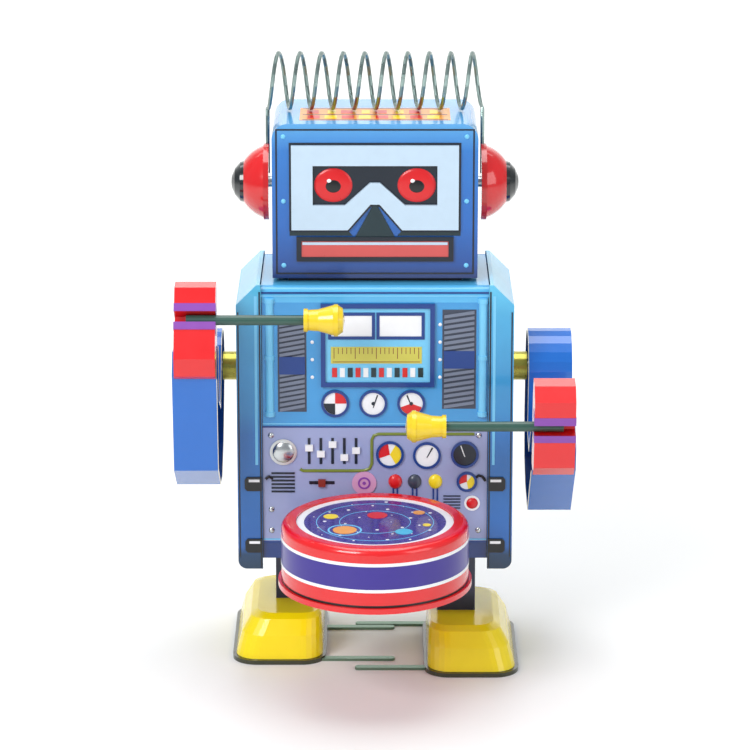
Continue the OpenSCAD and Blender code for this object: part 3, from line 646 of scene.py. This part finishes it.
drum_y, drum_r = -22, 20.3
skin_z = 39.7


def flat_ring(shape, r0, r1, x, y, h, n=72, sink=0.02):
    """A ring printed on the drum's skin."""
    low, high = skin_z - sink, skin_z + h
    shape.lathe([(r0, low), (r1, low), (r1, high), (r0, high)], x, y, n)
    return shape


def flat_disc(shape, x, y, r, h=0.08, n=28):
    flat_ring(shape, 0.001, r, x, y, h, n)


Shape().lathe(band_profile(drum_r, 31.2, 36.5), 0, drum_y) \
    .make("drum_band", INK["indigo"], RED_SLOT)
Shape().lathe(band_profile(drum_r, 36.4, 37.1, 0.1), 0, drum_y) \
    .lathe(band_profile(drum_r, 30.6, 31.3, 0.1), 0, drum_y) \
    .make("drum_white_lines", INK["white"], RED_SLOT)
Shape().lathe(band_profile(drum_r, 27.22, 27.7, 0.05), 0, drum_y) \
    .make("drum_gap", INK["black"], RED_SLOT)
flat_ring(Shape(), 15.4, 17.05, 0, drum_y, 0.08, sink=0.05) \
    .make("drum_white_ring", INK["white"], RED_SLOT)
planets = {"orange": [(-6.5, -27.5, 2.6), (9.6, -15.5, 1.3)], "cyan": [(6.2, -28.6, 1.9)],
           "red": [(0.5, -17.4, 2.2)],
           "yellow": [(-9.6, -18.2, 1.6), (11.2, -24, 0.9)]}
for colour, spots in planets.items():
    spot = Shape()
    for x, y, r in spots:
        flat_disc(spot, x, y, r)
    spot.make("drum_planets_" + colour, INK[colour], RED_SLOT)
rings = Shape()
flat_ring(rings, 3.3, 3.7, -6.5, -27.5, 0.06, 40)
flat_ring(rings, 7.6, 7.75, 0, drum_y, 0.05)
flat_ring(rings, 12.6, 12.75, 0, drum_y, 0.05)
rings.make("drum_orbits", INK["sky"], RED_SLOT)
stars = Shape()
star_count, golden_angle = 34, 137.5
for i in range(star_count):
    a, r = math.radians(i * golden_angle), 2 + 12.4 * math.sqrt((i + 0.5) / star_count)
    flat_disc(stars, r * math.cos(a), drum_y + r * math.sin(a), 0.16 + 0.12 * (i % 3), 0.05, 8)
stars.make("drum_stars", INK["white"], RED_SLOT)

# Hands and arms ---------------------------------------------------------------------------------

ARMS = (("left", 1, -9), ("right", -1, 33))     # name, side and degrees up from level


def arm_place(up):
    """From an arm drawn level with its shoulder at the origin to its rest pose."""
    return Matrix.Translation((0, 13 * MM, 65 * MM)) @ Matrix.Rotation(math.radians(-up), 4, "X")


for word, s, up in ARMS:
    place = arm_place(up)
    grip = Shape()
    x0, x1 = sorted((s * 34.22, s * 43.28))
    for loop in ([(-34.5, -0.8), (-34.36, -2.5), (-29.6, -2.5), (-29.6, -0.8)],
                 [(-34.5, 1.6), (-34.4, 3.4), (-29.6, 3.4), (-29.6, 1.6)]):
        grip.side_plate(loop, x0, x1)
    cuff = Shape()
    for x, radius in ((14.9, 2.55), (8.4, 3.5)):
        cuff.tube([(s * (x + 0.45), -32, 0.3), (s * (x - 0.45), -32, 0.3)], radius, 24)
    cuff.make("tip_collar_" + word, yellow_plastic, "yellow_plastic", body=word + "_arm",
              bevel=0.15, place=place)
    grip.make("grip_band_" + word, INK["violet"], RED_SLOT, body=word + "_arm", place=place)


def circle(r, y=0.0, z=0.0, n=36):
    return [(y + r * c, z + r * s) for c, s in turns(n)]


arm_line = [(8.5 * math.cos(a), 8.5 * math.sin(a)) for a in map(math.radians, range(0, 181, 15))]
arm_line += [
    (-8.5, -12), (-16, -13), (-24, -3), (-29.5, -6), (-29.5, -11.5), (-15, -28.6), (-3, -28.4),
    (4, -25), (8, -16)]


def shrunk(loop, d):
    """A loop moved inwards by d along the bisector of each corner."""
    out = []
    for i, p in enumerate(loop):
        a, b, c = Vector(loop[i - 1]), Vector(p), Vector(loop[(i + 1) % len(loop)])
        n1, n2 = (b - a).normalized(), (c - b).normalized()
        n1, n2 = Vector((-n1.y, n1.x)), Vector((-n2.y, n2.x))
        out.append(tuple(b + (n1 + n2) * (d / (1 + n1.dot(n2)))))
    return out


elbow = (-10.5, -20)
for word, s, up in ARMS:
    place = arm_place(up)
    x0, x1 = sorted((s * 43.6, s * 43.7))
    line = Shape()
    line.side_band(shrunk(arm_line, 0.9), shrunk(arm_line, 1.4), x0, x1)
    line.side_band(circle(5.6), circle(5), x0, x1)
    line.side_band(circle(3.2, *elbow), circle(2.7, *elbow), x0, x1)
    line.make("arm_lines_" + word, INK["sky"], TIN, body=word + "_arm", place=place)
    bolt = Shape()
    bolt.side_plate(circle(2.2), x0, x1)
    bolt.side_plate(circle(1.3, *elbow), x0, x1)
    washer = Shape()
    washer.side_band(circle(4), circle(1.6), *sorted((s * 30.52, s * 30.86)))
    washer.make("shoulder_washer_" + word, brass, "brass", body=word + "_arm", place=place)
    bolt.make("arm_bolts_" + word, steel, "bright_steel", body=word + "_arm", place=place)

# Floor, light, camera ---------------------------------------------------------------------------

floor_paint = material("floor_pale", (232, 232, 230), 0.55, vary=0.01, grain=20)
half, bend, curve_r, wall = 5, 0.9, 0.35, 3     # in metres
backdrop = bmesh.new()
profile = [(-half, 0), (bend, 0)]
profile += [(bend + curve_r * math.sin(math.radians(a)),
             curve_r * (1 - math.cos(math.radians(a)))) for a in range(9, 91, 9)]
profile.append((bend + curve_r, wall))
rows = [[backdrop.verts.new((x, y, z)) for x in (-half, half)] for y, z in profile]
for a, b in zip(rows, rows[1:]):
    backdrop.faces.new((a[0], a[1], b[1], b[0]))
data = bpy.data.meshes.new("floor")
backdrop.to_mesh(data)
backdrop.free()
data.shade_smooth()
data.materials.append(floor_paint)
floor = bpy.data.objects.new("floor", data)
bpy.context.scene.collection.objects.link(floor)


def softbox(name, at, target, size, watts):
    lamp = bpy.data.lights.new(name, "AREA")
    lamp.shape = "RECTANGLE"
    lamp.size, lamp.size_y = size
    lamp.energy = watts
    lamp_object = bpy.data.objects.new(name, lamp)
    lamp_object.location = at
    lamp_object.rotation_euler = (Vector(target) - Vector(at)).to_track_quat("-Z", "Y").to_euler()
    bpy.context.scene.collection.objects.link(lamp_object)


middle = (0, 0, 0.06)
softbox("key_light", (-0.45, -0.65, 0.6), middle, (0.4, 0.4), 5.6)
softbox("fill_light", (0.7, -0.5, 0.35), middle, (0.5, 0.5), 1.7)
softbox("top_light", (0, 0.1, 0.9), middle, (0.7, 0.7), 5.5)
softbox("backdrop_light", (0, 0.55, 0.9), (0, 1.25, 0.35), (1.4, 0.4), 9)
world = bpy.data.worlds.new("studio")
world.use_nodes = True
world.node_tree.nodes["Background"].inputs["Color"].default_value = (0.9, 0.94, 1, 1)
world.node_tree.nodes["Background"].inputs["Strength"].default_value = 0.42
bpy.context.scene.world = world
bpy.context.scene.view_settings.view_transform = "Standard"

lens = bpy.data.cameras.new("camera")
lens.lens = 170
lens.sensor_width = 36
camera = bpy.data.objects.new("camera", lens)
tilt, away, aim = math.radians(16), 0.78, Vector((0, 0, 0.0665))
camera.location = aim + Vector((0, -math.cos(tilt), math.sin(tilt))) * away
camera.rotation_euler = (aim - camera.location).to_track_quat("-Z", "Y").to_euler()
bpy.context.scene.collection.objects.link(camera)
bpy.context.scene.camera = camera
